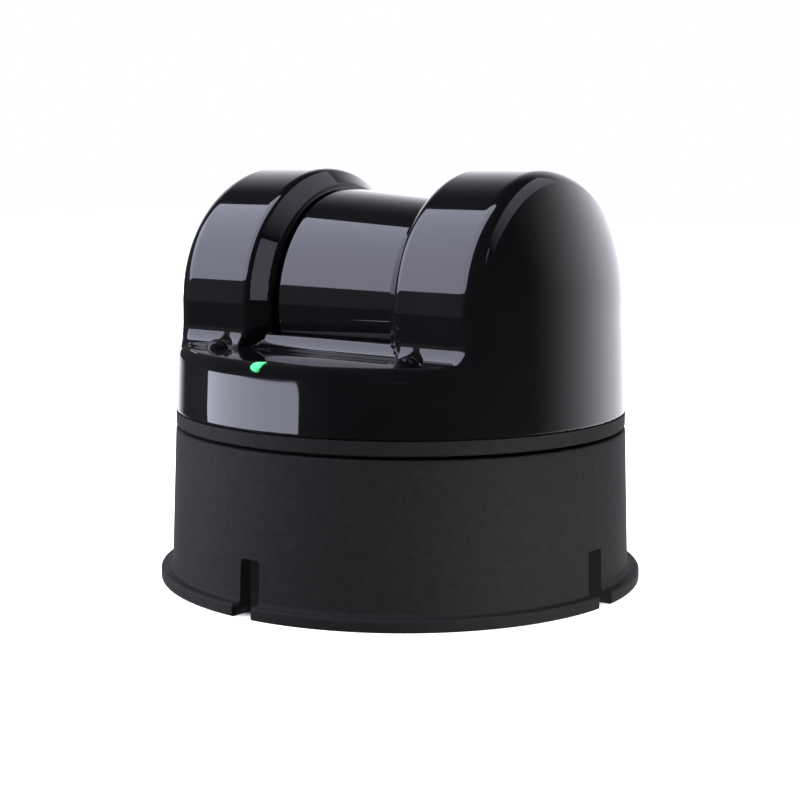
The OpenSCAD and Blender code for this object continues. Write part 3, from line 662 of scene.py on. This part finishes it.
def world_ramp(tree, value, start, stop):
    """0 up to start and 1 from stop on, with a smooth run between them."""
    node = tree.nodes.new("ShaderNodeMapRange")
    node.interpolation_type = "SMOOTHSTEP"
    node.inputs["From Min"].default_value = start
    node.inputs["From Max"].default_value = stop
    tree.links.new(value, node.inputs["Value"])
    return node.outputs["Result"]


def backdrop_level(tree):
    """The white backdrop behind: it fades towards the right and overhead, and stops at the left."""
    coord = tree.nodes.new("ShaderNodeTexCoord")
    split = tree.nodes.new("ShaderNodeSeparateXYZ")
    tree.links.new(coord.outputs["Generated"], split.inputs[0])
    dir_x, dir_y, dir_z = split.outputs
    turn = world_math(tree, "ARCTAN2", dir_x, dir_y)
    right_fade = world_ramp(tree, turn, math.radians(78), math.radians(12))
    left_fade = world_ramp(tree, turn, math.radians(-76), math.radians(-54))
    high_fade = world_ramp(tree, dir_z, math.sin(math.radians(58)), math.sin(math.radians(8)))
    sides = world_math(tree, "MULTIPLY", right_fade, left_fade)
    backdrop = world_math(tree, "MULTIPLY", sides, high_fade)
    level = world_math(tree, "MULTIPLY_ADD", backdrop, BACKDROP, AMBIENT)
    left, front = world_ramp(tree, dir_x, 0.1, -0.6), world_ramp(tree, dir_y, 0.1, -0.5)
    left_glow = world_math(tree, "MULTIPLY", left, front)
    return world_math(tree, "MULTIPLY_ADD", left_glow, LEFT_EXTRA, level)


def studio_world():
    """Plain white to the camera, and the backdrop to reflections and soft light."""
    world = bpy.data.worlds.new("studio")
    world.use_nodes = True
    tree = world.node_tree
    tree.nodes.clear()
    out = tree.nodes.new("ShaderNodeOutputWorld")
    mix = tree.nodes.new("ShaderNodeMixShader")
    path = tree.nodes.new("ShaderNodeLightPath")
    dim = tree.nodes.new("ShaderNodeBackground")
    white = tree.nodes.new("ShaderNodeBackground")
    keep = world_math(tree, "MULTIPLY_ADD", path.outputs["Is Diffuse Ray"], -DIFFUSE_CUT, 1.0)
    level = world_math(tree, "MULTIPLY", backdrop_level(tree), keep)
    dim.inputs["Color"].default_value = (0.93, 0.93, 1.0, 1)
    tree.links.new(level, dim.inputs["Strength"])
    white.inputs["Color"].default_value = (1, 1, 1, 1)
    white.inputs["Strength"].default_value = 1.0
    tree.links.new(path.outputs["Is Camera Ray"], mix.inputs[0])
    tree.links.new(dim.outputs[0], mix.inputs[1])
    tree.links.new(white.outputs[0], mix.inputs[2])
    tree.links.new(mix.outputs[0], out.inputs["Surface"])
    return world


bpy.context.scene.world = studio_world()

# ---------------------------------------------------------------- floor and camera

FLOOR_HALF = 1.5
# Where the painted shadow under the base ends, and where the floor is fully white
FLOOR_SHADOW_R, FLOOR_WHITE_R = 0.0335, 0.0365
CAM_AZ, CAM_PITCH, CAM_ROLL = math.radians(36.82), math.radians(7.97), math.radians(0.28)


def pale_floor():
    """A floor with a painted shadow under the base: dark under it, and white from the flange's edge
    outwards.
    """
    h = FLOOR_HALF
    mesh = bpy.data.meshes.new("pale_floor")
    mesh.from_pydata([(-h, -h, 0), (h, -h, 0), (h, h, 0), (-h, h, 0)], [], [(0, 1, 2, 3)])
    floor = bpy.data.objects.new("pale_floor", mesh)
    bpy.context.scene.collection.objects.link(floor)
    m, tree, bsdf = new_material("pale_floor")
    bsdf.inputs["Roughness"].default_value = 0.9
    bsdf.inputs["Emission Color"].default_value = (1, 1, 1, 1)
    coord = tree.nodes.new("ShaderNodeTexCoord")
    far = tree.nodes.new("ShaderNodeVectorMath")
    far.operation = "LENGTH"
    tree.links.new(coord.outputs["Object"], far.inputs[0])
    # Painted shadow under the base: the glow and the colour are dark near the middle and rise to an even
    # white at the flange's edge
    glow = spread(tree, far.outputs["Value"], 0.0, 0.95, FLOOR_SHADOW_R, FLOOR_WHITE_R)
    tree.links.new(glow, bsdf.inputs["Emission Strength"])
    colour = two_tone(tree, far.outputs["Value"], (0.01, 0.01, 0.01), (0.9, 0.9, 0.9),
                      FLOOR_SHADOW_R, FLOOR_WHITE_R)
    tree.links.new(colour, bsdf.inputs["Base Color"])
    mesh.materials.append(m)
    floor.visible_glossy = False
    floor.visible_diffuse = False
    return floor


def studio_camera():
    """A long lens at the front right, which looks down a little."""
    data = bpy.data.cameras.new("camera")
    data.sensor_width = 36
    data.lens = 76.95
    data.shift_x = -0.0015
    data.shift_y = 0.0012
    data.clip_start = 0.01
    data.clip_end = 10
    cam = bpy.data.objects.new("camera", data)
    bpy.context.scene.collection.objects.link(cam)
    cam.location = (0.1551, -0.2071, 0.0626)
    look = Vector((-math.sin(CAM_AZ) * math.cos(CAM_PITCH), math.cos(CAM_AZ) * math.cos(CAM_PITCH),
                   -math.sin(CAM_PITCH)))
    cam.rotation_euler = (look.to_track_quat("-Z", "Y") @ Quaternion((0, 0, 1), CAM_ROLL)).to_euler()
    return cam


floor = pale_floor()
bpy.context.scene.camera = studio_camera()

bpy.context.scene.view_settings.view_transform = "Standard"
bpy.context.scene.view_settings.look = "None"
